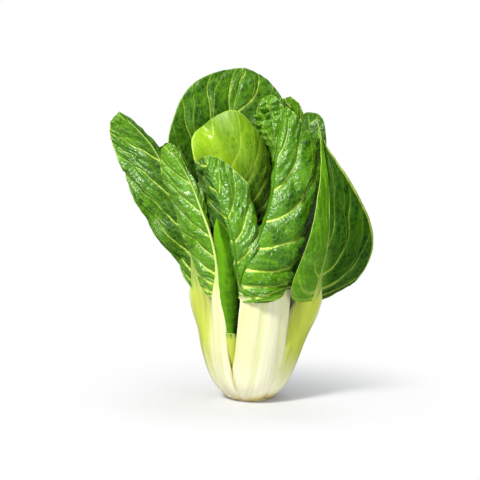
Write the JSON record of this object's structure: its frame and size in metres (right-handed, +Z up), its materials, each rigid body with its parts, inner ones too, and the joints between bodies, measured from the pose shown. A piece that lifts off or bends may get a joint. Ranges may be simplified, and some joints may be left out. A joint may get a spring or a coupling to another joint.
{
  "type": "pak choi",
  "caption": "Whole upright head of leafy greens with broad fleshy white stalks and glossy veined leaves around a small heart, standing on its trimmed flat cut end.",
  "frame": {"origin": "centre of the flat trimmed cut end that the head stands on", "axes": "+Z up through the head from its cut end to its leaf tips, -Y towards the side with the broad front stalk, +X to the right seen from there"},
  "size_m": [0.2173, 0.1391, 0.2781],
  "materials": {
    "stump": "matte",
    "stalk": "satin",
    "leaf": "gloss",
    "young_leaf": "gloss"
  },
  "bodies": {
    "root": {"stump": "stump", "front_stalk": "stalk", "right_stalk": "stalk", "front_left_stalk": "stalk", "left_stalk": "stalk", "rolled_stalk": "stalk", "folded_stalk": "stalk", "blistered_stalk": "stalk", "young_stalk": "stalk", "tall_stalk": "stalk", "back_right_stalk": "stalk", "rear_right_stalk": "stalk", "rear_stalk": "stalk", "rear_left_stalk": "stalk", "inner_right_stalk": "stalk", "inner_left_stalk": "stalk", "heart_stalk": "stalk", "front_blade": "leaf", "right_blade": "leaf", "front_left_blade": "leaf", "left_blade": "leaf", "rolled_blade": "leaf", "folded_blade": "leaf", "blistered_blade": "leaf", "young_blade": "young_leaf", "tall_blade": "leaf", "back_right_blade": "leaf", "rear_right_blade": "leaf", "rear_blade": "leaf", "rear_left_blade": "leaf", "inner_right_blade": "leaf", "inner_left_blade": "leaf", "heart_blade": "young_leaf"}
  },
  "joints": []
}
